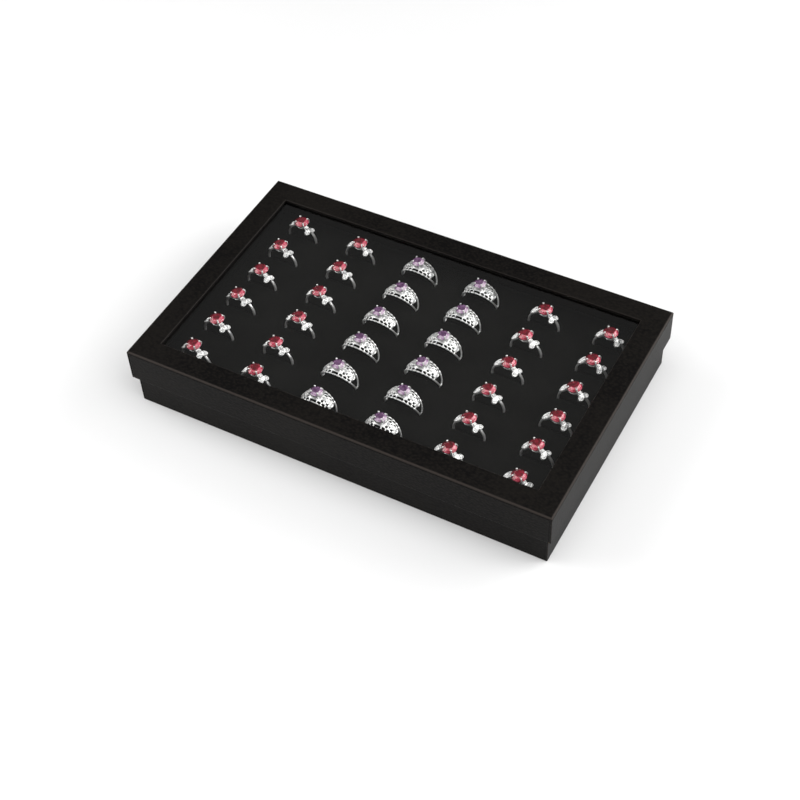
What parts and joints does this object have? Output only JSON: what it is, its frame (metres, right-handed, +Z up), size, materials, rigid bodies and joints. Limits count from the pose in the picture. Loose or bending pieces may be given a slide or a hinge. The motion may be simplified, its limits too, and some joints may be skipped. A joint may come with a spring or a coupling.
{
  "type": "ring display box",
  "caption": "Flat wrapped box with a lift-off windowed lid and a slotted velvet insert that holds finger rings upright in a grid.",
  "frame": {"origin": "centre of the underside of the base, on the surface the box stands on", "axes": "+X along the long side, to the right seen from the front; +Y to the back; +Z up, out of the window"},
  "size_m": [0.23, 0.144, 0.036],
  "materials": {
    "leather_grain_paper": "leather-grain embossed paper, black, satin",
    "greyboard": "uncoated grey board",
    "stay_paper": "kraft stay paper and transfer tape",
    "black_card": "uncoated black card",
    "foam": "open-cell polyurethane foam, black",
    "flocked_velvet": "flocked velvet, black",
    "clear_film": "clear PET film",
    "rhodium_plated_metal": "polished rhodium plate",
    "ruby": "cut and polished red stone",
    "amethyst": "cut and polished violet stone",
    "clear_stone": "cut and polished clear stone"
  },
  "bodies": {
    "base_tray": {"base_board": "greyboard", "base_corner_stays": "stay_paper", "base_wrap": "leather_grain_paper", "base_liner": "black_card", "insert_card": "greyboard", "foam_block": "foam", "velvet_cover": "flocked_velvet", "ruby_ring_1_1": "rhodium_plated_metal", "ruby_ring_1_2": "rhodium_plated_metal", "ruby_ring_1_3": "rhodium_plated_metal", "ruby_ring_1_4": "rhodium_plated_metal", "ruby_ring_1_5": "rhodium_plated_metal", "ruby_ring_1_6": "rhodium_plated_metal", "ruby_ring_2_1": "rhodium_plated_metal", "ruby_ring_2_2": "rhodium_plated_metal", "ruby_ring_2_3": "rhodium_plated_metal", "ruby_ring_2_4": "rhodium_plated_metal", "ruby_ring_2_5": "rhodium_plated_metal", "ruby_ring_2_6": "rhodium_plated_metal", "amethyst_ring_3_1": "rhodium_plated_metal", "amethyst_ring_3_2": "rhodium_plated_metal", "amethyst_ring_3_3": "rhodium_plated_metal", "amethyst_ring_3_4": "rhodium_plated_metal", "amethyst_ring_3_5": "rhodium_plated_metal", "amethyst_ring_3_6": "rhodium_plated_metal", "amethyst_ring_4_1": "rhodium_plated_metal", "amethyst_ring_4_2": "rhodium_plated_metal", "amethyst_ring_4_3": "rhodium_plated_metal", "amethyst_ring_4_4": "rhodium_plated_metal", "amethyst_ring_4_5": "rhodium_plated_metal", "amethyst_ring_4_6": "rhodium_plated_metal", "ruby_ring_5_1": "rhodium_plated_metal", "ruby_ring_5_2": "rhodium_plated_metal", "ruby_ring_5_3": "rhodium_plated_metal", "ruby_ring_5_4": "rhodium_plated_metal", "ruby_ring_5_5": "rhodium_plated_metal", "ruby_ring_5_6": "rhodium_plated_metal", "ruby_ring_6_1": "rhodium_plated_metal", "ruby_ring_6_2": "rhodium_plated_metal", "ruby_ring_6_3": "rhodium_plated_metal", "ruby_ring_6_4": "rhodium_plated_metal", "ruby_ring_6_5": "rhodium_plated_metal", "ruby_ring_6_6": "rhodium_plated_metal", "rubies_1": "ruby", "rubies_2": "ruby", "amethysts_3": "amethyst", "amethysts_4": "amethyst", "rubies_5": "ruby", "rubies_6": "ruby", "petal_stones_left": "clear_stone", "pave_stones_3": "clear_stone", "pave_stones_4": "clear_stone", "petal_stones_right": "clear_stone"},
    "lid": {"lid_board": "greyboard", "lid_corner_stays": "stay_paper", "lid_wrap": "leather_grain_paper", "window_film": "clear_film", "window_tape": "stay_paper", "lid_liner": "black_card"}
  },
  "joints": [
    {"name": "lid_lift", "type": "slide", "parent": "base_tray", "child": "lid", "axis": [0, 0, 1], "range_m": [0, 0.06]}
  ]
}
